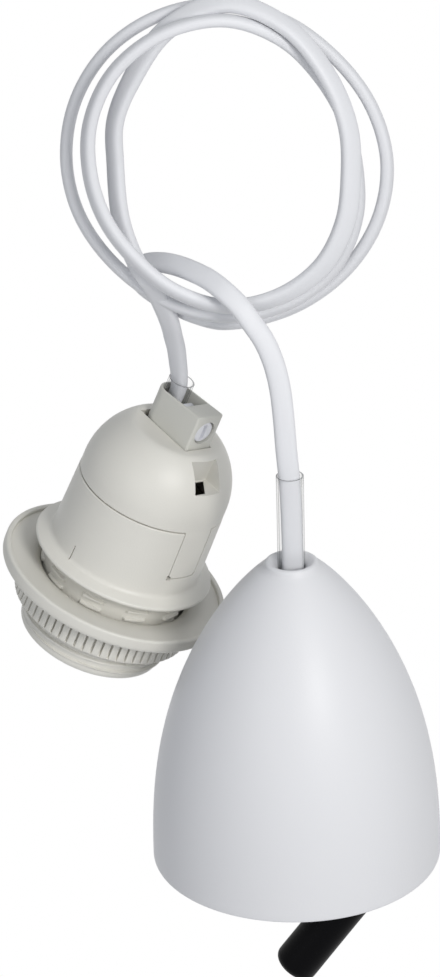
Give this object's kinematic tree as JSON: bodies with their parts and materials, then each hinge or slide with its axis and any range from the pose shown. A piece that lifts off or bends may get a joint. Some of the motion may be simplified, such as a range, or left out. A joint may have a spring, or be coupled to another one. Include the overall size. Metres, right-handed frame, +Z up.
{
  "type": "pendant cord set",
  "caption": "Ceiling pendant set: a bell canopy and a threaded lamp holder with a shade ring on a coiled flat white cord.",
  "frame": {"origin": "the point under the top of the cord's coil where a peg or hand holds the hanging set", "axes": "+Z up along gravity, +X to the right in the picture's view, +Y away from the viewer"},
  "size_m": [0.1163, 0.1112, 0.2593],
  "materials": {
    "canopy_white": "moulded white, soft satin",
    "cord_white": "extruded white sheath, soft sheen",
    "clear_sleeve": "clear extruded tube",
    "boot_black": "soft black, satin",
    "block_plastic": "moulded, plain",
    "holder_plastic": "moulded warm white, fine satin",
    "grip_plastic": "moulded pale grey",
    "ring_plastic": "moulded warm white, fine satin",
    "core_plastic": "moulded, plain",
    "screw_white": "moulded white, smooth",
    "brass": "pressed, bright",
    "steel": "zinc plated",
    "live_wire": "brown insulation",
    "neutral_wire": "blue insulation"
  },
  "bodies": {
    "root": {"cord": "cord_white", "canopy_sleeve": "clear_sleeve", "terminal_boot": "boot_black", "terminal_block": "block_plastic", "live_terminal_tube": "brass", "neutral_terminal_tube": "brass", "live_lower_terminal_screw": "steel", "live_upper_terminal_screw": "steel", "neutral_lower_terminal_screw": "steel", "neutral_upper_terminal_screw": "steel", "canopy_live_wire": "live_wire", "canopy_neutral_wire": "neutral_wire", "skirt": "holder_plastic", "cap": "holder_plastic", "cord_grip": "grip_plastic", "socket_core": "core_plastic", "screw_shell": "brass", "centre_contact": "brass", "holder_sleeve": "clear_sleeve", "clamp_screw": "screw_white", "clamp_shoe": "screw_white", "holder_live_terminal": "brass", "holder_neutral_terminal": "brass", "holder_live_terminal_screw": "steel", "holder_neutral_terminal_screw": "steel", "holder_live_wire": "live_wire", "holder_neutral_wire": "neutral_wire"},
    "canopy": {"canopy": "canopy_white"},
    "shade_ring": {"shade_ring": "ring_plastic"}
  },
  "joints": [
    {"name": "canopy_slide", "type": "slide", "parent": "root", "child": "canopy", "axis": [-0.0244, 0, 0.9997], "range_m": [-0.012, 0.009]},
    {"name": "shade_ring_travel", "type": "slide", "parent": "root", "child": "shade_ring", "axis": [0.3539, -0.0837, 0.9315], "range_m": [-0.0065, 0.0055]}
  ]
}
